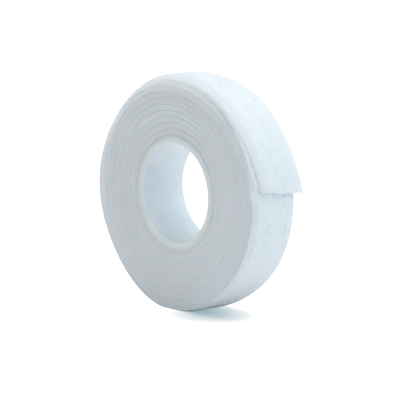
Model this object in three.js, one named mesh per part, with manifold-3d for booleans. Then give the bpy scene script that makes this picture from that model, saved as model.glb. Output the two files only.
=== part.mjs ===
// A roll of back-to-back hook and loop tape on a plain plastic core, standing on its rim.
// Millimetres. +Z is up and +Y runs along the bore. The origin is on the floor under the bore's middle.
import * as THREE from 'three';
import { mergeVertices } from 'three/addons/utils/BufferGeometryUtils.js';
import Module from 'manifold-3d';

// Core
const boreDiameter = 36.5;
const coreWall = 3;
const coreChamfer = 0.4;
const coreSegments = 72;

// Tape
const tapeWidth = 20;
const hookThickness = 0.5;
const loopThickness = 0.75;
const laminateGap = 0.3;
const turnGap = 0.45;
const edgeRound = 0.25;

// Winding
const wholeTurns = 10;
const stepsPerTurn = 36;
const innerEndAngle = 95;
const firstClimb = 70;
const leanShift = 1.2;
const leanAngle = 243;
const driftAngle = 160;
const tapeDrift = 1.8;

// Start tab
const tabThickness = 0.3;
const tabClearance = 0.3;
const tabWidth = 18;
const tabLength = 24;

// Free end
const endAngle = 7;
const linkCount = 4;
const linkAngle = 20;
const linkGap = 0.4;
const stepsPerLink = 4;

// Flat on which the roll stands
const standDepth = 0.5;

const coreRadius = boreDiameter / 2 + coreWall;
const windingRadius = coreRadius + tabThickness + 2 * tabClearance;
const loopInset = hookThickness + laminateGap;
const tapeThickness = loopInset + loopThickness;
const turnPitch = tapeThickness + turnGap;
const hingeAngle = endAngle + linkCount * linkAngle;
const woundTotal = 360 * wholeTurns + innerEndAngle - endAngle;
const woundEnd = woundTotal - linkCount * linkAngle;

const toRadians = THREE.MathUtils.degToRad;

// The share of a climb, from 0 to 1, eased at both ends.
function eased(share) {
  const t = Math.min(1, Math.max(0, share));
  return t * t * (3 - 2 * t);
}

// The inner radius of the tape after it has been wound through an angle, in degrees.
// The first turn lies on the core until it climbs over the inner end of the tape.
// Each later turn starts its climb earlier, and the slack leans the outer turns to one side.
function innerRadius(wound) {
  const turn = Math.floor(wound / 360 + 1e-9);
  const climbZone = Math.min(360, firstClimb + ((360 - firstClimb) * turn) / (wholeTurns - 1));
  const climb = eased((wound - 360 * (turn + 1) + climbZone) / climbZone);
  const lean = Math.cos(toRadians(innerEndAngle - wound - leanAngle)) * (wound / woundTotal);
  return windingRadius + turnPitch * (turn + climb) + leanShift * lean;
}

// The last part of the tape drifts along the bore towards its free end.
function sideways(wound) {
  return tapeDrift * eased((wound - woundTotal + driftAngle) / driftAngle);
}

// The bore's height over the floor: the lowest point of the outer turn, less the depth of the flat.
let lowest = 0;
for (let wound = woundTotal - 360; wound <= woundTotal; wound += 0.5) {
  const height = (innerRadius(wound) + tapeThickness) * Math.sin(toRadians(innerEndAngle - wound));
  lowest = Math.min(lowest, height);
}
const axisHeight = -lowest - standDepth;
const hingeRadius = innerRadius(woundEnd) + tapeThickness;

// A strip swept along the winding. The section has points [out from the tape's inner face, along the bore].
function strip(from, to, steps, section) {
  const points = [];
  const triangles = [];
  const count = section.length;
  for (let i = 0; i <= steps; i += 1) {
    const wound = from + ((to - from) * i) / steps;
    const angle = toRadians(innerEndAngle - wound);
    const inner = innerRadius(wound);
    const aside = sideways(wound);
    for (const [out, along] of section) {
      const radius = inner + out;
      points.push(radius * Math.cos(angle), along + aside, axisHeight + radius * Math.sin(angle));
    }
  }
  for (let i = 0; i < steps; i += 1) {
    for (let j = 0; j < count; j += 1) {
      const a = i * count + j;
      const b = i * count + ((j + 1) % count);
      triangles.push(a, b, b + count, a, b + count, a + count);
    }
  }
  const last = steps * count;
  for (let j = 1; j + 1 < count; j += 1) {
    triangles.push(0, j + 1, j);
    triangles.push(last, last + j, last + j + 1);
  }
  const geometry = new THREE.BufferGeometry();
  geometry.setAttribute('position', new THREE.Float32BufferAttribute(points, 3));
  geometry.setIndex(triangles);
  return geometry;
}

// The section of the loop tape, with its outer edges rounded off.
function loopSection() {
  const half = tapeWidth / 2;
  const top = loopInset + loopThickness;
  return [
    [loopInset, half],
    [top - edgeRound, half],
    [top, half - edgeRound],
    [top, edgeRound - half],
    [top - edgeRound, -half],
    [loopInset, -half],
  ];
}

// The section of the hook tape.
function hookSection() {
  const half = tapeWidth / 2;
  return [
    [0, half],
    [hookThickness, half],
    [hookThickness, -half],
    [0, -half],
  ];
}

const wasm = await Module();
wasm.setup();

function toManifold(geometry) {
  const plain = geometry.clone();
  plain.deleteAttribute('normal');
  plain.deleteAttribute('uv');
  const merged = mergeVertices(plain, 1e-4);
  return new wasm.Manifold(
    new wasm.Mesh({
      numProp: 3,
      vertProperties: new Float32Array(merged.attributes.position.array),
      triVerts: new Uint32Array(merged.index.array),
    }),
  );
}

function toGeometry(solid) {
  const mesh = solid.getMesh();
  const geometry = new THREE.BufferGeometry();
  geometry.setAttribute('position', new THREE.BufferAttribute(new Float32Array(mesh.vertProperties), 3));
  geometry.setIndex(new THREE.BufferAttribute(new Uint32Array(mesh.triVerts), 1));
  return geometry;
}

// The least gap of a winding to itself, measured on points of its two faces a turn apart.
function leastGap(top, bottom) {
  let least = Infinity;
  for (let wound = 0; wound + 360 <= woundEnd; wound += 5) {
    const low = innerRadius(wound) + top;
    const angle = toRadians(wound);
    for (let near = wound + 340; near <= Math.min(woundEnd, wound + 380); near += 1) {
      const high = innerRadius(near) + bottom;
      const turn = toRadians(near) - angle;
      least = Math.min(least, Math.hypot(high * Math.cos(turn) - low, high * Math.sin(turn)));
    }
  }
  return least;
}

const part = new THREE.Group();
part.name = 'hook_and_loop_tape_roll';

function add(name, geometry, color, roughness) {
  const material = new THREE.MeshStandardMaterial({ color, roughness, metalness: 0 });
  const mesh = new THREE.Mesh(geometry, material);
  mesh.name = name;
  part.add(mesh);
}

// The core is a turned tube with its four rims chamfered.
const boreRadius = boreDiameter / 2;
const coreEnd = tapeWidth / 2;
const coreProfile = [
  [boreRadius + coreChamfer, -coreEnd],
  [coreRadius - coreChamfer, -coreEnd],
  [coreRadius, coreChamfer - coreEnd],
  [coreRadius, coreEnd - coreChamfer],
  [coreRadius - coreChamfer, coreEnd],
  [boreRadius + coreChamfer, coreEnd],
  [boreRadius, coreEnd - coreChamfer],
  [boreRadius, coreChamfer - coreEnd],
  [boreRadius + coreChamfer, -coreEnd],
].map(([radius, along]) => new THREE.Vector2(radius, along));
const core = new THREE.LatheGeometry(coreProfile, coreSegments);
core.translate(0, 0, axisHeight);
add('core_tube', core, 0xdfe6ea, 0.35);

// The start tab lies on the core under the inner end of the tape.
const tabInner = -tabClearance - tabThickness;
const tabSection = [
  [tabInner, tabWidth / 2],
  [tabInner + tabThickness, tabWidth / 2],
  [tabInner + tabThickness, -tabWidth / 2],
  [tabInner, -tabWidth / 2],
];
const tabAngle = THREE.MathUtils.radToDeg(tabLength / windingRadius);
add('start_tab', strip(0, tabAngle, 8, tabSection), 0xd8d6c8, 0.6);

// Both strips are wound from the core to the first hinge of the free end.
const halfGap = THREE.MathUtils.radToDeg(linkGap / 2 / hingeRadius);
const windingSteps = Math.round((stepsPerTurn * woundEnd) / 360);
add('hook_tape_winding', strip(0, woundEnd - halfGap, windingSteps, hookSection()), 0xd3dbe0, 0.5);

const floorBlock = new THREE.BoxGeometry(4 * hingeRadius, 4 * tapeWidth, hingeRadius);
floorBlock.translate(0, 0, -hingeRadius / 2);
const loopWinding = toManifold(strip(0, woundEnd - halfGap, windingSteps, loopSection()));
add('loop_tape_winding', toGeometry(loopWinding.subtract(toManifold(floorBlock))), 0xf2f5f8, 0.9);

// The free end is a chain of short links of both strips.
for (let i = 0; i < linkCount; i += 1) {
  const from = woundEnd + i * linkAngle + halfGap;
  const to = woundEnd + (i + 1) * linkAngle - (i + 1 < linkCount ? halfGap : 0);
  add(`hook_tape_end_${i + 1}`, strip(from, to, stepsPerLink, hookSection()), 0xd3dbe0, 0.5);
  add(`loop_tape_end_${i + 1}`, strip(from, to, stepsPerLink, loopSection()), 0xf2f5f8, 0.9);
}

console.log('least gap of the loop tape to itself', leastGap(tapeThickness, loopInset).toFixed(3));
console.log('least gap of the hook tape to itself', leastGap(hookThickness, 0).toFixed(3));
console.log('height of the bore', axisHeight.toFixed(3));
for (let i = 0; i < linkCount; i += 1) {
  const angle = toRadians(hingeAngle - i * linkAngle);
  const radius = innerRadius(woundEnd + i * linkAngle) + tapeThickness;
  const x = radius * Math.cos(angle);
  const z = axisHeight + radius * Math.sin(angle);
  console.log('hinge', i + 1, x.toFixed(4), z.toFixed(4));
}

export default part;
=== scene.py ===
# %% [markdown]
# # A roll of hook and loop tape
# The object is one long white tape, wound about ten times round a milky plastic core and stood on its rim.
# One face of the tape is soft looped pile and the other carries small hooks, so the free end holds itself.
# Every visible surface here is worked out with numpy from one idea: a point on the tape is given by how far
# along the tape it lies, how far across it, and how far out of its inner face. A single function bends those
# three numbers round the roll. The strips, the pile and the hooks all go through it, so they always fit.

# %% Load the frame
import math

import bpy
import numpy as np
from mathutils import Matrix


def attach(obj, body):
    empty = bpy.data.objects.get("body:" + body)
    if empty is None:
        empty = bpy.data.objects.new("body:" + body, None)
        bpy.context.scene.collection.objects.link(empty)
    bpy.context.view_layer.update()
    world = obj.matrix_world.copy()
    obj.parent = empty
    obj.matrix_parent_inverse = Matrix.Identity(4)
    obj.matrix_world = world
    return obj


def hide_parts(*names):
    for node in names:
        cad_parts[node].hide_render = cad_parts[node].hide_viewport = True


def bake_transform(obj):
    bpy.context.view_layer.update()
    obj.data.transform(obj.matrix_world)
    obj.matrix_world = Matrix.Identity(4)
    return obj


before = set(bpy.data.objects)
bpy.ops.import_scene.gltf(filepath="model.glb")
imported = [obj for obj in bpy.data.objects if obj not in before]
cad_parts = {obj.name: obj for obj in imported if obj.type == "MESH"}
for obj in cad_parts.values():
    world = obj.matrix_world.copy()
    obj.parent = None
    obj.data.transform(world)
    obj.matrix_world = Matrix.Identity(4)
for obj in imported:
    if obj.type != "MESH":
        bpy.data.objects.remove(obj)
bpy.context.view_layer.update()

# %% [markdown]
# ## The spiral
# On the real roll each turn lies one thickness of tape further out than the turn before, and a slack roll is
# a little out of round. A spiral curve with a bevel could give such a strip, but pile, hooks and fibres could
# then not be set on it by the same numbers. So the path is a few small functions of one angle, the degrees
# wound so far. Lengths are in millimetres until a mesh is made, because tape is thought of in millimetres.

# %% The spiral
FIRST_RADIUS = 21.40
PITCH = 2.32
INNER_END = 95.0
TOTAL_WOUND = 3688.0
# Cosine and sine heights of the waves 0 to 5 by which the outer turn is out of round.
ROUNDNESS = [(1.012, 0.0), (-1.45, -0.924), (0.7, 0.144), (-0.059, 0.137), (0.255, -0.133), (-0.358, -0.203)]
TIP_LIFT = 0.2
BARE_TOP = 1.77


def climb(value, none, full):
    """An eased climb from 0 at one value to 1 at another: three times the square of the share of the way,
    less twice its cube."""
    share = np.clip((value - none) / (full - none), 0.0, 1.0)
    return share * share * (3.0 - 2.0 * share)


def inner_radius(wound):
    """Radius of the tape's inner face at an angle wound: one pitch a turn from the second turn on, plus the
    error of roundness, a sum of waves round the roll times the fourth power of the share wound, plus a small
    lift of the tip."""
    angle = np.radians(INNER_END - wound)
    spiral = FIRST_RADIUS + PITCH * np.maximum(wound / 360.0 - 1.0, 0.0)
    waves = sum(c * np.cos(k * angle) + s * np.sin(k * angle) for k, (c, s) in enumerate(ROUNDNESS))
    lift = TIP_LIFT * climb(TOTAL_WOUND - wound, 16.0, -2.0)
    return spiral + waves * (wound / TOTAL_WOUND)**4 + lift


def swelling(wound):
    """The first turn is pressed onto the core at its start and swells to its full thickness in one turn."""
    return np.clip(wound / 360.0, 0.02, 1.0)


def bareness(wound):
    """0 where a turn lies over the tape and 1 where none does. It climbs on the tape under the tip, from 372
    to 348 degrees before the free end."""
    return climb(TOTAL_WOUND - wound, 372.0, 348.0)


def thickness(wound):
    """From the tape's inner face to the top of its pile: up to the turn that lies over it, or to the height
    of bare pile where none does."""
    over = (inner_radius(wound + 360.0) - inner_radius(wound)) / swelling(wound)
    return over + (BARE_TOP - over) * bareness(wound)


print("outer radius below the tip", round(float(inner_radius(TOTAL_WOUND - 355.0) + BARE_TOP), 2), "mm")

# %% [markdown]
# ## Drift
# Nobody winds a roll quite true: each turn lies a little aside of the one below, and the free end slips back
# along the bore. Turns could be moved as whole rings, but a tape can't jump from one place to the next. So
# the move is a function of the angle wound as well, made of smooth random lines and the free end's drift.

# %% Drift along the bore
KNOTS = 4096
SIDE_MOVES = ((0.05, 95.0, 3), (0.02, 31.0, 4))
DRIFT, DRIFT_ANGLE, DRIFT_POWER = 2.75, 36.0, 1.3
TURNS_DEEP = np.arange(6.0)
FOLLOW = [1.0, 0.72, 0.45, 0.2, 0.05, 0.0]


def wander(along, step, seed):
    """A smooth random line: one random height every step, joined by eased climbs."""
    heights = np.random.default_rng(seed).uniform(-1.0, 1.0, KNOTS)
    place = np.asarray(along) / step
    knot = np.floor(place).astype(int)
    share = climb(place - knot, 0.0, 1.0)
    return heights[knot % KNOTS] * (1.0 - share) + heights[(knot + 1) % KNOTS] * share


def wanders(along, moves):
    """A sum of smooth random lines, each given by its height, its step and its seed."""
    return sum(height * wander(along, step, seed) for height, step, seed in moves)


def turn_place(wound):
    """How many whole turns of tape lie over a point of the tape, and how many degrees it then lies before the
    free end."""
    turns = np.maximum(TOTAL_WOUND - wound, 0.0) / 360.0
    return np.floor(turns), 360.0 * (turns - np.floor(turns))


def drift(wound):
    """How far the free end has drifted back along the bore: all of it at the tip, none from the drift angle
    before it, and between them the share of that angle to a power."""
    place = turn_place(wound)[1]
    return DRIFT * np.clip(1.0 - place / DRIFT_ANGLE, 0.0, 1.0)**DRIFT_POWER


def sideways(wound):
    """How far a turn lies along the bore: each turn wanders a little, and the free end drifts back. The turns
    under it follow, each by less than the one above, until the free end leaves them bare."""
    turn, place = turn_place(wound)
    share = np.interp(turn, TURNS_DEEP, FOLLOW)
    share = np.where(turn < 0.5, 1.0, share * climb(place, 2.0, 77.0))
    return drift(wound) * share + wanders(wound, SIDE_MOVES)


print("the tip lies", round(float(sideways(TOTAL_WOUND)), 2), "mm along the bore")

# %% [markdown]
# ## Soft edges
# Wound pile is soft: its edges sink, and the wound face swells forward between the core and the outer turn. A
# cloth simulation would give some of this by chance. Small tables round the roll give it on purpose, so that
# the outline and the shading can follow the photograph.

# %% Soft edges
# Degrees before the free end, and at each of them, in millimetres: how far the front edge sinks, how far the
# outer turns round off, and how far the wound face swells forward.
SOFT_PLACE = [0.0, 20.0, 60.0, 140.0, 200.0, 235.0, 270.0, 345.0, 360.0]
SOFT_DROOP = [1.2, 1.0, 0.8, 1.2, 0.8, 0.5, 0.25, 0.3, 1.2]
SOFT_WIDTH = [0.4, 0.4, 0.5, 2.0, 1.0, 0.5, 0.1, 0.2, 0.4]
SOFT_BULGE = [1.6, 2.6, 3.6, 3.2, 1.2, 0.3, 0.0, 0.6, 1.6]
DROOP_SHARE = [1.0, 0.7, 0.42, 0.2, 0.08, 0.0]
BACK_DROOP, TOP_DROOP, BACK_SHARE = 0.25, 1.3, 0.62
TIP_DROOP, TIP_BEVEL = 0.3, 0.5
ROUND_DEPTH = 10.0


def depth_below(wound, out):
    """Depth of a point below the outer face, counted in turns. The tape that the free end leaves bare comes
    up to the outer face within fourteen degrees."""
    turn, place = turn_place(wound)
    return turn + climb(place, 346.0, 360.0) + 1.0 - np.clip(out / thickness(wound), 0.0, 1.0)


def droop(wound, across, out):
    """How far the soft edges sink toward the core. It grows with the square of the distance past the middle
    half of the tape, and fades with depth. The front edge of the free end rises again toward the tip, and the
    back edge sinks most on top of the roll."""
    turn, place = turn_place(wound)
    depth = depth_below(wound, out)
    upward = np.clip(np.sin(np.radians(INNER_END - wound)), 0.0, 1.0)
    front = np.interp(place, SOFT_PLACE, SOFT_DROOP) * np.interp(depth, TURNS_DEEP, DROOP_SHARE)
    rise = climb(place, 88.0, 0.0) * (turn < 0.5)
    front = front * (1.0 - rise) + TIP_DROOP * rise
    back = (BACK_DROOP + TOP_DROOP * upward**20) * BACK_SHARE**depth
    past_middle = np.clip((np.abs(across) - 5.5) / 4.5, 0.0, 1.2)
    return np.where(across < 0.0, front, back) * past_middle**2


def shoulder(wound, across, out):
    """How far the front edge lies behind the plain front, in four parts. The outer turns round off together,
    by a width times the square of the nearness to the outer face. The edge of each turn slants from the drift
    of the turn below to its own, so that no step shows. The free end has a bevel. The wound face swells
    forward, by a bulge times one less that square, and the swell fades toward the core."""
    turn, place = turn_place(wound)
    width = np.interp(place, SOFT_PLACE, SOFT_WIDTH)
    near_tip = (turn < 0.5) & (place < 60.0)
    width = np.where(near_tip, width * (0.15 + 0.85 * climb(place, 0.0, 40.0)), width)
    depth = depth_below(wound, out)
    nearness = np.clip(1.0 - depth * PITCH / ROUND_DEPTH, 0.0, 1.0)
    bulge = np.interp(place, SOFT_PLACE, SOFT_BULGE) * (1.0 - nearness**2) * climb(depth, 9.8, 2.8)
    low = np.clip(1.0 - out / thickness(wound), 0.0, 1.0)
    slant = np.interp(turn, TURNS_DEEP, FOLLOW) - np.interp(turn + low, TURNS_DEEP, FOLLOW)
    slant = slant * drift(wound) * climb(place, 25.0, 85.0)
    bevel = TIP_BEVEL * np.where(turn < 0.5, 1.0 - low, 0.0) * climb(place, 75.0, 15.0)
    front_half = np.clip((-across - 2.0) / 8.0, 0.0, 1.0)
    return (width * nearness**2 - slant + bevel - bulge) * front_half


print("the wound face swells by up to", max(SOFT_BULGE), "mm")

# %% [markdown]
# ## Bending the tape round the roll
# A tape is flat until it is wound. A curve modifier could bend it, but not with the drift and the soft edges
# above, so one function of three numbers does, and every piece of tape goes through it. Pile and hooks are
# spaced in millimetres along the tape, so a table turns such lengths into angles and back.

# %% Bend and measure the tape
BORE_HEIGHT = 43.245
FLOOR_GAP = 0.03
TABLE_PAST, TABLE_ROWS = 8.0, 40001


def on_tape(wound, across, out):
    """Bends tape coordinates round the roll: out adds to the radius, and across runs along the bore. Nothing
    comes lower than just over the floor, where the pile is pressed flat."""
    angle = np.radians(INNER_END - wound)
    radius = inner_radius(wound) + out * swelling(wound) - droop(wound, across, out)
    x = radius * np.cos(angle)
    y = across + sideways(wound) + shoulder(wound, across, out)
    z = np.maximum(BORE_HEIGHT + radius * np.sin(angle), FLOOR_GAP)
    return np.stack(np.broadcast_arrays(x, y, z), axis=-1)


table_wound = np.linspace(0.0, TOTAL_WOUND + TABLE_PAST, TABLE_ROWS)
table_steps = np.linalg.norm(np.diff(on_tape(table_wound, 0.0, 1.0)[:, [0, 2]], axis=0), axis=1)
table_along = np.concatenate([[0.0], np.cumsum(table_steps)])


def along_at(wound):
    """Length of tape, in millimetres, from its inner end to a winding angle."""
    return np.interp(wound, table_wound, table_along)


def wound_at(along):
    """Winding angle at a length of tape from its inner end."""
    return np.interp(along, table_along, table_wound)


TAPE_LENGTH = float(along_at(TOTAL_WOUND))
print("tape length", round(TAPE_LENGTH / 1000.0, 3), "m in", round(TOTAL_WOUND / 360.0, 2), "turns")

# %% [markdown]
# ## Camera
# The photograph looks at the front edge and the outer face together, from a little above, with a long lens.
# The camera's turn and height were solved from the outline of the roll, and the shift moves the picture by
# the few pixels that the roll stands off the middle.

# %% Camera
VIEW_TURN = math.radians(49.2)
VIEW_RISE = math.radians(8.44)
VIEW_DISTANCE = 0.8
FOCAL_PIXELS = 2174.1
PHOTO_PIXELS = 400.0
ROLL_PIXEL = (195.05, 190.84)
SENSOR_WIDTH = 36.0

camera_data = bpy.data.cameras.new("photo_camera")
camera = bpy.data.objects.new("photo_camera", camera_data)
bpy.context.scene.collection.objects.link(camera)
aim = np.array([0.0, 0.0, BORE_HEIGHT / 1000.0])
camera.location = aim + VIEW_DISTANCE * np.array([
    math.sin(VIEW_TURN) * math.cos(VIEW_RISE),
    -math.cos(VIEW_TURN) * math.cos(VIEW_RISE),
    math.sin(VIEW_RISE),
])
camera.rotation_euler = (math.pi / 2 - VIEW_RISE, 0.0, VIEW_TURN)
camera_data.sensor_width = SENSOR_WIDTH
camera_data.lens = FOCAL_PIXELS / PHOTO_PIXELS * SENSOR_WIDTH
camera_data.shift_x = (PHOTO_PIXELS / 2 - ROLL_PIXEL[0]) / PHOTO_PIXELS
camera_data.shift_y = (ROLL_PIXEL[1] - PHOTO_PIXELS / 2) / PHOTO_PIXELS
camera_data.clip_start = 0.05
bpy.context.scene.camera = camera
print("lens", round(camera_data.lens, 1), "mm")

# %% [markdown]
# ## Nodes
# A finish in Blender is a small graph of nodes. Each helper below adds one node or two, links what they need
# and hands back an output, so that a finish reads as a short list of steps.

# %% Node helpers
MIX_FIRST, MIX_SECOND, MIX_RESULT = 6, 7, 2


def node_tree(owner):
    """Empties the node tree of a material or a world and gives it back."""
    owner.use_nodes = True
    owner.node_tree.nodes.clear()
    return owner.node_tree


def new_node(tree, kind, **values):
    """Adds a shader node with some of its inputs set. An underscore in a name stands for a space."""
    node = tree.nodes.new("ShaderNode" + kind)
    for name, value in values.items():
        node.inputs[name.replace("_", " ")].default_value = value
    return node


def noise_node(tree, vector, scale, detail=2.0, rough=0.5):
    """A noise texture of that many lumps a metre."""
    noise = new_node(tree, "TexNoise", Scale=scale, Detail=detail, Roughness=rough)
    tree.links.new(vector, noise.inputs["Vector"])
    return noise.outputs["Fac"]


def ramp_node(tree, value, low, high, low_color, high_color):
    """A colour ramp between two colours."""
    ramp = new_node(tree, "ValToRGB")
    ramp.color_ramp.elements[0].position = low
    ramp.color_ramp.elements[1].position = high
    ramp.color_ramp.elements[0].color = (*low_color, 1.0)
    ramp.color_ramp.elements[1].color = (*high_color, 1.0)
    tree.links.new(value, ramp.inputs["Fac"])
    return ramp.outputs["Color"]


def mix_node(tree, factor, first, second, blend="MIX"):
    """Mixes two colours, by a number or by another node's value."""
    mix = new_node(tree, "Mix")
    mix.data_type = "RGBA"
    mix.blend_type = blend
    if isinstance(factor, (int, float)):
        mix.inputs[0].default_value = factor
    else:
        tree.links.new(factor, mix.inputs[0])
    tree.links.new(first, mix.inputs[MIX_FIRST])
    tree.links.new(second, mix.inputs[MIX_SECOND])
    return mix.outputs[MIX_RESULT]


def bump_node(tree, height, distance, strength):
    """Turns a height into a bump."""
    bump = new_node(tree, "Bump", Distance=distance, Strength=strength)
    tree.links.new(height, bump.inputs["Height"])
    return bump.outputs["Normal"]


def stretched(tree, vector, scale):
    """A vector with its axes scaled one by one, so that a grain runs in one direction."""
    mapping = new_node(tree, "Mapping", Scale=scale)
    tree.links.new(vector, mapping.inputs["Vector"])
    return mapping.outputs["Vector"]


def seen_rays(tree):
    """1 for rays that show the background, from the camera, off gloss or through clear pieces, or else 0."""
    path = new_node(tree, "LightPath")
    seen = path.outputs["Is Camera Ray"]
    for kind in ("Is Glossy Ray", "Is Transmission Ray"):
        either = new_node(tree, "Math")
        either.operation = "MAXIMUM"
        tree.links.new(seen, either.inputs[0])
        tree.links.new(path.outputs[kind], either.inputs[1])
        seen = either.outputs[0]
    return seen


def start_finish(name, **look):
    """A material with a Principled shader of that look, ready for its grain."""
    material = bpy.data.materials.new(name)
    tree = node_tree(material)
    shader = new_node(tree, "BsdfPrincipled", **look)
    tree.links.new(shader.outputs[0], new_node(tree, "OutputMaterial").inputs["Surface"])
    return material, tree, shader


# %% [markdown]
# ## Floor
# The roll stands on white and throws a soft shadow. Plain matt paint would turn grey away from the lamps, so
# the rays that make the picture see the paint with a glow added. The glow is weak at the foot of the roll,
# where the shadow shows, and full white a few centimetres from it. The weak glow is painted shade: round
# the foot the floor stays a little darker even in full light, and the warm paint under a bluish glow paints
# the shadow blue.

# %% Floor
WHITE = (1.0, 1.0, 1.0)
FLOOR_HALF = 6.0
# FOOT is the middle of the painted shade round the foot, and FOOT_GLOW is its weak, bluish glow.
FOOT = (0.0165, -0.007, 0.0)
FOOT_GLOW = (0.14, 0.29, 0.36)
FADE_FROM, FADE_TO = 0.002, 0.032


def floor_paint():
    """Pale matt paint for the light. For the picture it is a warmer paint plus a glow, and the glow grows
    with the distance from the foot, along an eased climb. The weak, bluish glow at the foot is painted shade,
    which darkens the floor round the foot and paints the shadow blue."""
    material = bpy.data.materials.new("floor_paint")
    tree = node_tree(material)
    links = tree.links
    matt = new_node(tree, "BsdfDiffuse", Color=(0.90, 0.91, 0.92, 1.0))
    shade = new_node(tree, "BsdfDiffuse", Color=(0.76, 0.60, 0.52, 1.0))
    from_foot = new_node(tree, "VectorMath")
    from_foot.operation = "SUBTRACT"
    from_foot.inputs[1].default_value = FOOT
    far = new_node(tree, "VectorMath")
    far.operation = "LENGTH"
    fade = new_node(tree, "MapRange", From_Min=FADE_FROM, From_Max=FADE_TO)
    fade.interpolation_type = "SMOOTHSTEP"
    glow = new_node(tree, "Emission")
    lifted = new_node(tree, "AddShader")
    choose = new_node(tree, "MixShader")
    links.new(new_node(tree, "TexCoord").outputs["Object"], from_foot.inputs[0])
    links.new(from_foot.outputs["Vector"], far.inputs[0])
    links.new(far.outputs["Value"], fade.inputs["Value"])
    links.new(ramp_node(tree, fade.outputs["Result"], 0.0, 1.0, FOOT_GLOW, WHITE), glow.inputs["Color"])
    links.new(shade.outputs[0], lifted.inputs[0])
    links.new(glow.outputs[0], lifted.inputs[1])
    links.new(seen_rays(tree), choose.inputs["Fac"])
    links.new(matt.outputs[0], choose.inputs[1])
    links.new(lifted.outputs[0], choose.inputs[2])
    links.new(choose.outputs[0], new_node(tree, "OutputMaterial").inputs["Surface"])
    return material


corners = [(x * FLOOR_HALF, y * FLOOR_HALF, 0.0) for x, y in ((-1, -1), (1, -1), (1, 1), (-1, 1))]
floor_mesh = bpy.data.meshes.new("floor")
floor_mesh.from_pydata(corners, [], [(0, 1, 2, 3)])
floor = bpy.data.objects.new("floor", floor_mesh)
floor.data.materials.append(floor_paint())
bpy.context.scene.collection.objects.link(floor)
print("floor", 2 * FLOOR_HALF, "m wide")

# %% [markdown]
# ## Lamps
# Most of the light comes from above and from the right of the picture, and from a little behind the roll. So
# the pile on top is the brightest and the wound edges lie in half shade. Sun lamps would give hard shadows,
# and area lamps of more than half a metre give soft ones. The two on the right are slightly blue.

# %% Lamps
def soft_lamp(name, place, size, power, color=WHITE):
    """A square area lamp that faces the roll."""
    data = bpy.data.lights.new(name, "AREA")
    data.size = size
    data.energy = power
    data.color = color
    lamp = bpy.data.objects.new(name, data)
    toward = aim - np.array(place)
    lamp.location = place
    flat = math.hypot(toward[0], toward[1])
    lamp.rotation_euler = (math.atan2(flat, -toward[2]), 0.0, math.atan2(toward[1], toward[0]) - math.pi / 2)
    bpy.context.scene.collection.objects.link(lamp)


soft_lamp("top_softbox", (0.0, 0.05, 1.1), 0.9, 7.1)
soft_lamp("right_softbox", (0.9, 0.40, 0.25), 0.9, 2.1, (0.76, 0.93, 1.0))
soft_lamp("high_right_softbox", (0.75, 0.5, 0.75), 0.8, 3.3, (0.90, 0.97, 1.0))
soft_lamp("left_softbox", (-0.85, 0.10, 0.35), 0.6, 2.5)

# %% [markdown]
# ## World
# The background is plain white. A world as white as that would also flood the roll with light and wash out
# its edges. So two strengths are mixed by the kind of ray: white for the picture, a third for the object.

# %% World
WORLD_LIGHT = ((1.0, 1.0, 0.985, 1.0), 0.32)
WORLD_PICTURE = ((1.0, 1.0, 1.0, 1.0), 1.0)

world = bpy.data.worlds.new("studio")
bpy.context.scene.world = world
tree = node_tree(world)
choose = new_node(tree, "MixShader")
tree.links.new(seen_rays(tree), choose.inputs["Fac"])
for socket, (color, strength) in ((1, WORLD_LIGHT), (2, WORLD_PICTURE)):
    background = new_node(tree, "Background", Color=color, Strength=strength)
    tree.links.new(background.outputs[0], choose.inputs[socket])
tree.links.new(choose.outputs[0], new_node(tree, "OutputWorld").inputs["Surface"])
bpy.context.scene.view_settings.view_transform = "Standard"
print("world strength on the object", WORLD_LIGHT[1])

# %% [markdown]
# ## Tape finishes
# The loop tape is a tight backing, which shows as pale lines on the wound edges, with a softer, greyer pile.
# Each fibre of the pile has its own shade, and the hook film is smooth with fine ribs. Image textures could
# show this, but noise at the right scale needs no file and never repeats. The patterns follow the tape, so
# they read its own UV map, with lengths in metres along and around the strip.

# %% Tape finishes
def tape_finish(name, pile_light, pile_dark, back_light, back_dark):
    """White tape: pale tight backing where the attribute pile is 0, softer and greyer pile where it is 1."""
    material, tree, shader = start_finish(name, Roughness=0.92, Sheen_Weight=0.25, Sheen_Roughness=0.6,
                                          Specular_IOR_Level=0.2)
    uv = new_node(tree, "TexCoord").outputs["UV"]
    pile = new_node(tree, "Attribute")
    pile.attribute_name = "pile"
    lumps = noise_node(tree, uv, 1500.0, 3.0, 0.6)
    streaks = noise_node(tree, stretched(tree, uv, (1.0, 0.08, 1.0)), 900.0, 2.0)
    weave = noise_node(tree, stretched(tree, uv, (1.0, 0.0, 1.0)), 45.0, 3.0, 0.65)
    soft = ramp_node(tree, lumps, 0.3, 0.72, pile_dark, pile_light)
    tight = ramp_node(tree, weave, 0.47, 0.66, back_dark, back_light)
    streak = ramp_node(tree, streaks, 0.32, 0.6, (0.985, 0.987, 0.99), WHITE)
    both = mix_node(tree, pile.outputs["Fac"], tight, soft)
    tree.links.new(mix_node(tree, 1.0, both, streak, "MULTIPLY"), shader.inputs["Base Color"])
    tree.links.new(bump_node(tree, lumps, 0.0001, 0.25), shader.inputs["Normal"])
    return material


def fibre_finish(name, light, dark):
    """Nylon fibre: each fibre has its own shade, from the attribute shade, and a slight gloss."""
    material, tree, shader = start_finish(name, Roughness=0.55, Sheen_Weight=0.2, Specular_IOR_Level=0.3)
    shade = new_node(tree, "Attribute")
    shade.attribute_name = "shade"
    tone = ramp_node(tree, shade.outputs["Fac"], 0.0, 1.0, dark, light)
    tree.links.new(tone, shader.inputs["Base Color"])
    return material


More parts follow.
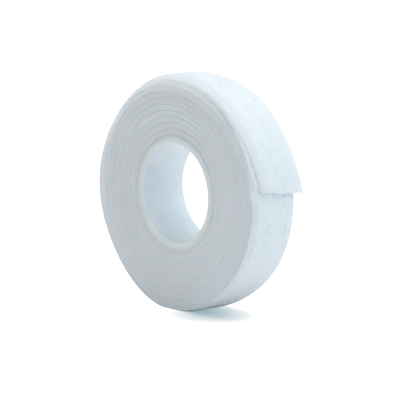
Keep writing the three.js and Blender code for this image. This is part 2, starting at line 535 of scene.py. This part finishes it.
def hook_film_finish():
    """Hook film: smooth white nylon with fine ribs along the tape."""
    material, tree, shader = start_finish("hook_film", Roughness=0.5)
    uv = new_node(tree, "TexCoord").outputs["UV"]
    ribs = noise_node(tree, stretched(tree, uv, (0.1, 1.0, 1.0)), 2500.0, 1.0)
    cloud = noise_node(tree, uv, 700.0, 3.0)
    tone = ramp_node(tree, cloud, 0.3, 0.7, (0.77, 0.82, 0.86), (0.82, 0.87, 0.91))
    tree.links.new(tone, shader.inputs["Base Color"])
    tree.links.new(bump_node(tree, ribs, 0.0001, 0.5), shader.inputs["Normal"])
    return material


loop_cloth = tape_finish("loop_cloth", pile_light=(0.83, 0.89, 0.94), pile_dark=(0.79, 0.85, 0.90),
                         back_light=(0.91, 0.97, 1.0), back_dark=(0.80, 0.86, 0.91))
pile_fibre = fibre_finish("pile_fibre", light=(0.86, 0.91, 0.96), dark=(0.79, 0.85, 0.90))
hook_fibre = fibre_finish("hook_fibre", light=(0.86, 0.89, 0.92), dark=(0.74, 0.78, 0.82))
hook_film = hook_film_finish()
print("tape finishes", [m.name for m in (loop_cloth, pile_fibre, hook_fibre, hook_film)])

# %% [markdown]
# ## Core plastic and adhesive film
# The core is milky plastic that light enters by a few millimetres. Glass with a tint would look too clear, so
# the shader scatters the light under the surface. The drawn wall is smooth with fine lines along the bore,
# and the sawn ends are paler. The start tab is a dull, slightly yellow film with tiny bubbles.

# %% Core plastic and adhesive film
SAWN_FROM, SAWN_TO = 0.0092, 0.0098


def core_plastic_finish():
    """Milky translucent plastic: light spreads inside it, under a smooth drawn skin. The tone goes from the
    drawn wall's to the sawn ends' with the distance from the middle of the bore."""
    material, tree, shader = start_finish("core_plastic", Roughness=0.34, Subsurface_Weight=0.6,
                                          Subsurface_Radius=(1.0, 1.1, 1.2), Subsurface_Scale=0.003)
    place = new_node(tree, "TexCoord").outputs["Object"]
    cloud = noise_node(tree, place, 130.0, 3.0)
    drawn = noise_node(tree, stretched(tree, place, (1.0, 0.04, 1.0)), 900.0, 2.0)
    wall = ramp_node(tree, cloud, 0.3, 0.7, (0.71, 0.79, 0.85), (0.77, 0.84, 0.90))
    sawn = ramp_node(tree, cloud, 0.3, 0.7, (0.78, 0.88, 0.94), (0.84, 0.93, 0.98))
    axis = new_node(tree, "SeparateXYZ")
    tree.links.new(place, axis.inputs[0])
    from_middle = new_node(tree, "Math")
    from_middle.operation = "ABSOLUTE"
    tree.links.new(axis.outputs["Y"], from_middle.inputs[0])
    end = new_node(tree, "MapRange", From_Min=SAWN_FROM, From_Max=SAWN_TO)
    tree.links.new(from_middle.outputs[0], end.inputs["Value"])
    tree.links.new(mix_node(tree, end.outputs["Result"], wall, sawn), shader.inputs["Base Color"])
    tree.links.new(bump_node(tree, drawn, 0.0001, 0.25), shader.inputs["Normal"])
    return material


def tab_finish():
    """Adhesive film: dull and slightly yellow, with tiny bubbles."""
    material, tree, shader = start_finish("adhesive_film", Roughness=0.55)
    uv = new_node(tree, "TexCoord").outputs["UV"]
    bubbles = noise_node(tree, uv, 1800.0, 2.0)
    tone = ramp_node(tree, bubbles, 0.35, 0.65, (0.72, 0.71, 0.64), (0.82, 0.81, 0.75))
    tree.links.new(tone, shader.inputs["Base Color"])
    tree.links.new(bump_node(tree, bubbles, 0.0001, 0.3), shader.inputs["Normal"])
    return material


core_plastic = core_plastic_finish()
adhesive_film = tab_finish()
print("finishes", [m.name for m in bpy.data.materials])

# %% [markdown]
# ## From arrays to meshes
# A tube-like piece is a grid: rows along a path and columns round a section. The faces are index arrays, so
# a strip with thousands of rows is made in a moment. The same helper closes both ends.

# %% Mesh helpers
def mesh_piece(name, points, faces, material, uv=None, values=None):
    """Puts points in millimetres, faces, corner UVs and point values into a new mesh object. Quads and
    triangles are smooth, and the larger end caps are flat, so that neighbouring lengths meet unseen."""
    mesh = bpy.data.meshes.new(name)
    points = np.asarray(points, np.float32).reshape(-1, 3) / 1000.0
    sizes = np.concatenate([np.full(len(part), part.shape[1]) for part in faces]).astype(np.int32)
    corners = np.concatenate([part.ravel() for part in faces]).astype(np.int32)
    mesh.vertices.add(len(points))
    mesh.vertices.foreach_set("co", points.ravel())
    mesh.loops.add(len(corners))
    mesh.loops.foreach_set("vertex_index", corners)
    mesh.polygons.add(len(sizes))
    mesh.polygons.foreach_set("loop_start", np.concatenate([[0], np.cumsum(sizes)[:-1]]).astype(np.int32))
    mesh.polygons.foreach_set("loop_total", sizes)
    mesh.polygons.foreach_set("use_smooth", sizes <= 4)
    if uv is not None:
        layer = mesh.uv_layers.new(name="tape")
        layer.data.foreach_set("uv", np.asarray(uv, np.float32).ravel())
    for key, value in (values or {}).items():
        layer = mesh.attributes.new(key, "FLOAT", "POINT")
        layer.data.foreach_set("value", np.asarray(value, np.float32).ravel())
    mesh.update(calc_edges=True)
    mesh.materials.append(material)
    piece = bpy.data.objects.new(name, mesh)
    bpy.context.scene.collection.objects.link(piece)
    return piece


def tube_faces(rows, columns):
    """Quads between neighbouring rows of a closed section, and one face over each end."""
    row, column = np.meshgrid(np.arange(rows - 1), np.arange(columns), indexing="ij")
    here = row * columns + column
    beside = row * columns + (column + 1) % columns
    quads = np.stack([here, beside, beside + columns, here + columns], axis=-1).reshape(-1, 4)
    first = np.arange(columns)[::-1][None]
    last = ((rows - 1) * columns + np.arange(columns))[None]
    return [quads, first, last]


def tube_uv(along, around):
    """Corner UVs of a capped tube, in metres: along the path and round the section."""
    rows, columns = len(along), len(around) - 1
    u = np.repeat(along[:, None], columns + 1, axis=1)
    v = np.repeat(around[None], rows, axis=0)
    grid = np.stack([u, v], axis=-1) / 1000.0
    a, b = grid[:-1, :-1], grid[:-1, 1:]
    c, d = grid[1:, 1:], grid[1:, :-1]
    quads = np.stack([a, b, c, d], axis=2).reshape(-1, 2)
    return np.concatenate([quads, grid[0, :-1][::-1], grid[-1, :-1]])


def around_of(out, across):
    """Lengths round a section from its first point back to it."""
    ring = np.stack([out, across], axis=-1)
    steps = np.linalg.norm(np.roll(ring, -1, axis=0) - ring, axis=1)
    return np.concatenate([[0.0], np.cumsum(steps)])


# %% [markdown]
# ## Core
# The core is a plain drawn tube. A lathe of a rounded profile would do, and here the profile is carried round
# the bore as a grid, so that its inner rims get a soft radius and its wall the slight waviness of cheap tube.
# It is as wide as the tape, and thick enough that no light shows between it and the first turn.

# %% Core tube
TAPE_HALF = 10.0
CORE_INNER, CORE_OUTER = 18.25, 21.25
CORE_GROWTH = 0.25
CORE_SOFT, CORE_CRISP = 0.4, 0.03
CORE_STEPS = 240


def core_tube():
    """A ring of profile points turned about the bore: the profile is a rectangle with rounded corners, soft
    ones at the bore and crisp ones under the tape. Two small waves round the bore add to its radius."""
    inner, outer, half, soft, crisp = CORE_INNER, CORE_OUTER + CORE_GROWTH, TAPE_HALF, CORE_SOFT, CORE_CRISP
    turn = np.linspace(0.0, math.pi / 2, 5)
    corner = np.stack([np.cos(turn), np.sin(turn)], axis=-1)
    profile = np.concatenate([
        corner * crisp + (outer - crisp, half - crisp),
        corner[::-1] * (-soft, soft) + (inner + soft, half - soft),
        np.stack([np.full(9, inner), np.linspace(half - 1.5, 1.5 - half, 9)], axis=-1),
        corner * (-soft, -soft) + (inner + soft, soft - half),
        corner[::-1] * (crisp, -crisp) + (outer - crisp, crisp - half),
        np.stack([np.full(9, outer), np.linspace(1.5 - half, half - 1.5, 9)], axis=-1),
    ])
    angle = np.linspace(0.0, 2 * math.pi, CORE_STEPS, endpoint=False)
    wave = 0.05 * np.cos(2 * angle + 0.6) + 0.025 * np.cos(5 * angle)
    radius = profile[None, :, 0] + wave[:, None]
    points = np.stack([
        radius * np.cos(angle)[:, None],
        np.broadcast_to(profile[None, :, 1], radius.shape),
        BORE_HEIGHT + radius * np.sin(angle)[:, None],
    ], axis=-1)
    rows, columns = radius.shape
    row, column = np.meshgrid(np.arange(rows), np.arange(columns), indexing="ij")
    here = row * columns + column
    beside = row * columns + (column + 1) % columns
    above = (row + 1) % rows * columns + (column + 1) % columns
    over = (row + 1) % rows * columns + column
    quads = np.stack([here, over, above, beside], axis=-1).reshape(-1, 4)
    return mesh_piece("core_tube_drawn", points, [quads], core_plastic)


core = core_tube()
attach(core, "roll")
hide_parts("core_tube")
print("core", len(core.data.polygons), "faces")

# %% [markdown]
# ## Tape strips
# The loop tape is a tight backing with a thick soft pile on it. Seen from the side, the backing's edge is a
# fine pale line and the pile is a greyer band, drawn in a little. One closed section with both is carried
# along the whole winding, so that the turns never part. The hook tape under it is a thin flat film.

# %% Sections of the strips
BACK_TOP = 0.96
PRESSED, SPRUNG, SWOLLEN, ROUNDED = 0.02, 0.6, 0.8, 0.6


def pile_top(wound, across):
    """Height of the pile over the tape's inner face: pressed level under the next turn, lower and rounded at
    its edges where nothing covers it, sprung up just past the free end, and swollen beside the free end's
    edge."""
    to_tip = TOTAL_WOUND - wound
    spring = SPRUNG * climb(to_tip, 359.0, 354.0) * climb(to_tip, 327.0, 351.0)
    round_off = np.clip((np.abs(across) - 7.0) / 3.0, 0.0, 1.0)**2
    ledge = np.maximum(sideways(wound + 360.0) - sideways(wound), 0.1)
    share = np.clip((-across - TAPE_HALF + ledge) / ledge, 0.0, 1.0)
    beside = climb(-across - TAPE_HALF + ledge, -0.5, 0.0) * (1.0 - share**2)
    swell = SWOLLEN * beside * climb(to_tip, 420.0, 380.0) * climb(to_tip, 356.0, 364.0)
    return thickness(wound) + PRESSED + spring + swell - ROUNDED * bareness(wound) * round_off


def loop_section(wound):
    """Section of the loop tape for every row: the backing's edges, the soft sides of the pile, and its top.
    Each point has a height out, a place across, and 1 where it is pile or 0 where it is backing."""
    h = TAPE_HALF
    side = np.array([
        (0.50, h - 0.04, 0), (0.58, h, 0), (0.72, h + 0.01, 0), (0.86, h, 0), (BACK_TOP, h - 0.02, 0.5),
    ])
    soft = np.array([(0.15, h - 0.02, 1), (0.45, h - 0.01, 1), (0.75, h - 0.02, 1), (1.0, h - 0.05, 1)])
    top = np.array([h - 0.3, h - 0.7, h - 1.2, h - 1.8, h - 2.4, h - 3.0, h - 3.8, 4.5, 1.5])
    across = np.concatenate([side[:, 1], soft[:, 1], top])
    pile = np.concatenate([side[:, 2], soft[:, 2], np.ones(len(top))])
    across = np.concatenate([across, -across[::-1]])
    pile = np.concatenate([pile, pile[::-1]])
    wound = np.asarray(wound)[:, None]
    brow = pile_top(wound, np.array([[h, -h]])) - BACK_TOP
    low = np.repeat(side[None, :, 0], len(wound), axis=0)
    rise = soft[None, :, 0]
    out = np.concatenate([
        low, BACK_TOP + rise * brow[:, :1], pile_top(wound, top[None]),
        pile_top(wound, -top[None, ::-1]), BACK_TOP + rise[:, ::-1] * brow[:, 1:], low[:, ::-1],
    ], axis=1)
    return out, across, pile


def hook_section():
    """Section of the hook film: a thin flat strip with rounded edges, from 0.02 to 0.49 mm out."""
    h = TAPE_HALF - 0.02
    ring = np.array([
        (0.02, h - 0.04), (0.06, h), (0.45, h), (0.49, h - 0.04),
        (0.49, 0.04 - h), (0.45, -h), (0.06, -h), (0.02, 0.04 - h),
    ])
    return ring[:, 0], ring[:, 1]


print("section points", len(loop_section(np.zeros(1))[1]), "and", len(hook_section()[1]))

# %% [markdown]
# ## Lengths of tape
# The wound tape and the lengths of its free end are one strip on the real roll. A single mesh could not peel,
# so each length is made between its own two winding angles, by the same functions. Small smooth random moves
# keep the turns from looking machined. They follow the place along the tape, so lengths meet without a step.

# %% Lengths of tape
CUT_PAST = 2.0
CUT_MOVES = ((0.35, 2.6, 31), (0.15, 0.7, 32))
EDGE_MOVES = ((0.04, 14.0, 11), (0.02, 3.1, 12))
END_STEP = 0.01


def slanted(wound, across, start):
    """Cuts the free end at a slight slant, a little past the last link: the back edge runs on further, and
    the cut is a little ragged. The tape stretches to it from the start of its last length."""
    share = climb(wound, start, TOTAL_WOUND)
    return wound + share * (CUT_PAST + across / TAPE_HALF + wanders(across + 50.0, CUT_MOVES))


def rows_along(first, last, rows):
    """Evenly spaced lengths along the tape, with one more close to each end. The rounding of the light from
    the outer face to the cut end then takes a hundredth of a millimetre, and lengths meet unseen."""
    low, high = float(along_at(first)), float(along_at(last))
    return np.concatenate([[low], np.linspace(low + END_STEP, high - END_STEP, rows - 2), [high]])


def bent_rows(wound, across, reach, rise, first, last):
    """Bends the rows of a length round the roll. The last length follows the slanted cut."""
    wound = np.broadcast_to(wound[:, None], reach.shape)
    if last >= TOTAL_WOUND:
        wound = slanted(wound, across[None], first)
    return on_tape(wound, reach, rise)


def loop_strip(name, first, last, rows):
    """A length of loop tape between two winding angles: its sides and its bare top move by smooth random
    lines, a few hundredths of a millimetre high."""
    along = rows_along(first, last, rows)
    wound = wound_at(along)
    out, across, pile = loop_section(wound)
    around = around_of(out[rows // 2], across)
    side = np.sign(across)[None] * np.clip((np.abs(across) - TAPE_HALF + 1.5) / 1.2, 0.0, 1.0)[None]
    apart = along[:, None]
    column = np.arange(len(across))[None]
    rough = wander(apart + 37.7 * column, 0.9, 13) * (0.02 + 0.02 * pile[None])
    reach = across[None] + side * (wanders(apart, EDGE_MOVES) + rough)
    lumps = 0.015 * wander(apart + 91.3 * column, 2.1, 14) + 0.03 * wander(apart + 11.0 * column, 9.0, 15)
    rise = out + pile[None] * bareness(wound)[:, None] * lumps
    points = bent_rows(wound, across, reach, rise, first, last)
    piece = mesh_piece(name, points, tube_faces(rows, len(across)), loop_cloth, tube_uv(along, around),
                       {"pile": np.broadcast_to(pile[None], reach.shape)})
    return piece, along[-1] - along[0]


def hook_strip(name, first, last, rows):
    """A length of hook film between two winding angles."""
    along = rows_along(first, last, rows)
    out, across = hook_section()
    reach = across[None] + np.sign(across)[None] * wanders(along[:, None], EDGE_MOVES)
    rise = np.broadcast_to(out[None], reach.shape)
    points = bent_rows(wound_at(along), across, reach, rise, first, last)
    around = around_of(out, across)
    piece = mesh_piece(name, points, tube_faces(rows, len(across)), hook_film, tube_uv(along, around))
    return piece, along[-1] - along[0]


# %% [markdown]
# ## The winding
# About two metres of tape lie round the core. Ten rings could pass for them, but on a real roll the eye can
# follow one line from the core to the tip. So both strips run on as one length each, up to the middle of the
# link before the first hinge. The free end starts there with the same section, and no seam shows.

# %% The winding on the core
LINKS = (1, 2, 3, 4)
LINK_WOUND = 20.0
FIRST_HINGE = TOTAL_WOUND - len(LINKS) * LINK_WOUND
WINDING_END = FIRST_HINGE - LINK_WOUND / 2

for make, kind, rows in ((loop_strip, "loop", 2750), (hook_strip, "hook", 2600)):
    piece, length = make(f"{kind}_tape_wound", 0.0, WINDING_END, rows)
    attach(piece, "roll")
    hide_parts(f"{kind}_tape_winding")
    print(piece.name, round(length), "mm long,", len(piece.data.polygons), "faces")

# %% [markdown]
# ## Start tab
# A short adhesive strip holds the inner end of the tape to the core. It hides under the first turn, so a
# plain arc of a thin rectangle is enough.

# %% Start tab
TAB_LENGTH, TAB_HALF = 24.0, 9.0
TAB_INNER, TAB_OUTER = 21.27, 21.38
TAB_ROWS = 60


def start_tab():
    """A short flat strip on the core under the inner end of the tape, as an arc of a thin rectangle."""
    along = np.linspace(0.0, TAB_LENGTH, TAB_ROWS)
    ring = np.array([
        (TAB_INNER, TAB_HALF), (TAB_OUTER, TAB_HALF), (TAB_OUTER, -TAB_HALF), (TAB_INNER, -TAB_HALF),
    ])
    angle = math.radians(INNER_END) - along[:, None] / CORE_OUTER
    radius, across = (np.broadcast_to(ring[None, :, k], (TAB_ROWS, 4)) for k in (0, 1))
    points = np.stack([radius * np.cos(angle), across, BORE_HEIGHT + radius * np.sin(angle)], axis=-1)
    uv = tube_uv(along, around_of(ring[:, 0], ring[:, 1]))
    return mesh_piece("start_tab_film", points, tube_faces(TAB_ROWS, 4), adhesive_film, uv)


tab = start_tab()
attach(tab, "roll")
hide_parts("start_tab")
print("start tab", len(tab.data.polygons), "faces")

# %% [markdown]
# ## The free end
# The last quarter of the outer turn peels away. It is made of four lengths of tape, and each length spans
# one hinge of the chain, from the middle of one link to the middle of the next. The lengths meet where
# both follow the same link, so the tape looks unbroken at rest.


def bend_over(piece):
    """Bakes the piece's transform into its mesh."""
    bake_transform(piece)


def end_span(link):
    """Winding angles of the length that bends over a hinge. The last one runs to the tip."""
    first = FIRST_HINGE + (link - 1.5) * LINK_WOUND
    return first, TOTAL_WOUND if link == LINKS[-1] else first + LINK_WOUND


for link in LINKS:
    first, last = end_span(link)
    for make, kind, rows in ((loop_strip, "loop", 60), (hook_strip, "hook", 40)):
        rows = rows if link < LINKS[-1] else rows * 3 // 2
        piece, length = make(f"{kind}_tape_free_{link}", first, last, rows)
        bend_over(piece)
        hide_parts(f"{kind}_tape_end_{link}")
print("free end from", round(TAPE_LENGTH - float(along_at(WINDING_END)), 1), "mm before the tip")

# %% [markdown]
# ## Fibres
# The pile, the loose fibres at the edges and the hooks are all fine nylon. Particle hair can't be exported as
# a solid, so each fibre is a small tube of five rings with three sides, and thousands are made at once.

# %% Fibres as tubes
FIBRE_RINGS = 5
SIDES = 3
ASKEW = np.array([0.31, 0.47, 0.83])


def fibre_tubes(centres, radius):
    """Three-sided tubes round many short lines at once. centres is (fibres, rings, 3) in tape coordinates
    along, across and out; each ring is a circle round its line, square to it."""
    step = np.gradient(centres, axis=1)
    step /= np.linalg.norm(step, axis=-1, keepdims=True)
    aside = np.cross(step, ASKEW)
    aside /= np.linalg.norm(aside, axis=-1, keepdims=True)
    above = np.cross(step, aside)
    turn = np.arange(SIDES) * 2 * math.pi / SIDES
    ring = np.cos(turn)[:, None] * aside[:, :, None] + np.sin(turn)[:, None] * above[:, :, None]
    return centres[:, :, None] + radius[:, :, None, None] * ring


def fibre_piece(name, tubes, shade, material, first, last):
    """One mesh of many three-sided tubes between two winding angles, bent round the roll, each tube with its
    own shade. On the last length they follow the slanted cut, as the strips do."""
    along, across, out = np.moveaxis(tubes, -1, 0)
    wound = wound_at(along)
    if last >= TOTAL_WOUND:
        wound = slanted(wound, across, first)
    points = on_tape(wound, across, out)
    quads, *tips = tube_faces(FIBRE_RINGS, SIDES)
    every = np.arange(len(tubes))[:, None, None] * FIBRE_RINGS * SIDES
    faces = [(quads + every).reshape(-1, 4), (np.concatenate(tips) + every).reshape(-1, SIDES)]
    return mesh_piece(name, points, faces, material, values={"shade": np.repeat(shade, FIBRE_RINGS * SIDES)})


# %% [markdown]
# ## Pile
# The outer face is a nap of fine loops. A bumpy texture would look flat at the outline, so real loops are set
# on it. Each has a random place, turn, span and height, and an arch that rises and falls like half a sine.

# %% Pile loops
PILE_DENSITY = 3.0
PILE_RADIUS = 0.045
PILE_ROOT = 0.06
OUTER_START = TOTAL_WOUND - 448.0


def pile_loops(name, first, last, density, seed):
    """Arched loops on the outer face between two winding angles: height is half a sine of the span."""
    draw = np.random.default_rng(seed)
    low, high = float(along_at(first)), float(along_at(last))
    count = int((high - low) * 2 * TAPE_HALF * density)
    along = draw.uniform(low, high, count)
    across = draw.uniform(0.35 - TAPE_HALF, TAPE_HALF - 0.35, count)
    turn = draw.uniform(0.0, 2 * math.pi, count)
    span = draw.uniform(0.35, 0.85, count)
    tall = draw.uniform(0.0, 0.05, count)
    lean = draw.uniform(-0.2, 0.2, (count, 2))
    share = np.linspace(0.0, 1.0, FIBRE_RINGS)
    reach = (share[None] - 0.5) * span[:, None]
    arch = np.sin(math.pi * share)[None]
    centres = np.stack([
        along[:, None] + reach * np.cos(turn)[:, None] + arch * lean[:, :1],
        across[:, None] + reach * np.sin(turn)[:, None] + arch * lean[:, 1:],
        pile_top(wound_at(along), across)[:, None] - PILE_ROOT + arch * (tall[:, None] + PILE_ROOT),
    ], axis=-1)
    radius = np.full(centres.shape[:2], PILE_RADIUS) * draw.uniform(0.7, 1.2, count)[:, None]
    return fibre_piece(name, fibre_tubes(centres, radius), draw.random(count), pile_fibre, first, last)


stops = np.linspace(OUTER_START, WINDING_END, 5)
for part in range(4):
    nap = pile_loops(f"pile_wound_{part + 1}", stops[part], stops[part + 1], PILE_DENSITY, 40 + part)
    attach(nap, "roll")
for link in LINKS:
    first, last = end_span(link)
    nap = pile_loops(f"pile_free_{link}", first, last, PILE_DENSITY, 50 + link)
    bend_over(nap)

# %% [markdown]
# ## Fibres on the wound edges
# Loops also stand out of the sides of the pile, between the pale lines of the backing. They give the wound
# edges their soft, speckled look, so short arches are set along both edges of the whole winding.

# %% Edge fibres
EDGE_PER_MM = 2.0
EDGE_RADIUS = 0.04
EDGE_LOW = 0.7


def edge_loops(name, first, last, side, per_mm, seed):
    """Arches that stand out of one side of the pile, along the bore: reach is half a sine of the span."""
    draw = np.random.default_rng(seed)
    low, high = float(along_at(first)), float(along_at(last))
    count = int((high - low) * per_mm)
    along = draw.uniform(low, high, count)
    brow = pile_top(wound_at(along), TAPE_HALF - 0.5)
    out = EDGE_LOW + draw.uniform(0.05, 0.95, count) * (brow - EDGE_LOW)
    span = draw.uniform(0.2, 0.6, count)
    reach = draw.uniform(0.05, 0.22, count)
    tilt = draw.uniform(-0.25, 0.25, count)
    share = np.linspace(0.0, 1.0, FIBRE_RINGS)
    arch = np.sin(math.pi * share)[None]
    centres = np.stack([
        along[:, None] + (share[None] - 0.5) * span[:, None],
        side * (TAPE_HALF - 0.14 + arch * reach[:, None]),
        out[:, None] + (share[None] - 0.5) * tilt[:, None],
    ], axis=-1)
    radius = np.full(centres.shape[:2], EDGE_RADIUS) * draw.uniform(0.7, 1.2, count)[:, None]
    return fibre_piece(name, fibre_tubes(centres, radius), draw.random(count) * 0.8, pile_fibre, first, last)


for side, word in ((-1, "front"), (1, "back")):
    fringe = edge_loops(f"edge_fibres_{word}", 5.0, WINDING_END, side, EDGE_PER_MM, 60 + side)
    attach(fringe, "roll")
    print("fibres on the", word, "edge", len(fringe.data.polygons), "faces")
    for link in LINKS:
        first, last = end_span(link)
        seed = 70 + 5 * side + link
        fringe = edge_loops(f"edge_fibres_{word}_free_{link}", first, last, side, EDGE_PER_MM, seed)
        bend_over(fringe)

# %% [markdown]
# ## Hooks
# The inner face shows when the end is peeled. It carries rows of short stems that bend over into hooks. Each
# hook is a fibre along a line that goes down from the film and then curls back. A plain grid with a little
# scatter is enough, because real hooks stand in rows too.

# %% Hooks on the free end
HOOK_ROW, HOOK_LINE = 1.05, 0.92
HOOK_CURL = 0.13
HOOK_STEM = 0.12
HOOK_RADII = np.array([0.10, 0.075, 0.07, 0.065, 0.05])


def hooks(name, first, last, seed):
    """Hooks on the inner face: a stem down from the film, then a curl of 215 degrees round a small circle.
    The lines of hooks curl forward and back by turns."""
    draw = np.random.default_rng(seed)
    low, high = float(along_at(first)), float(along_at(last))
    rows = np.arange(low + 0.5, high - 0.3, HOOK_ROW)
    lines = np.arange(0.9 - TAPE_HALF, TAPE_HALF - 0.8, HOOK_LINE)
    along, across = (a.ravel() for a in np.meshgrid(rows, lines, indexing="ij"))
    along = along + draw.normal(0.0, 0.06, along.size)
    across = across + draw.normal(0.0, 0.05, across.size)
    way = np.where(np.round(across / HOOK_LINE) % 2 == 0, 1.0, -1.0)
    curl = np.radians(np.array([60.0, 130.0, 215.0]))
    forward = np.concatenate([[0.0, 0.0], HOOK_CURL - HOOK_CURL * np.cos(curl)])
    down = np.concatenate([[0.2, -HOOK_STEM], -HOOK_STEM - HOOK_CURL * np.sin(curl)])
    centres = np.stack([
        along[:, None] + way[:, None] * forward[None],
        np.broadcast_to(across[:, None], (across.size, FIBRE_RINGS)),
        np.broadcast_to(down[None], (across.size, FIBRE_RINGS)),
    ], axis=-1)
    radius = HOOK_RADII[None] * np.ones((across.size, 1))
    return fibre_piece(name, fibre_tubes(centres, radius), draw.random(across.size), hook_fibre, first, last)


for link in LINKS:
    first, last = end_span(link)
    field = hooks(f"hooks_free_{link}", max(first, FIRST_HINGE), last, 80 + link)
    bend_over(field)
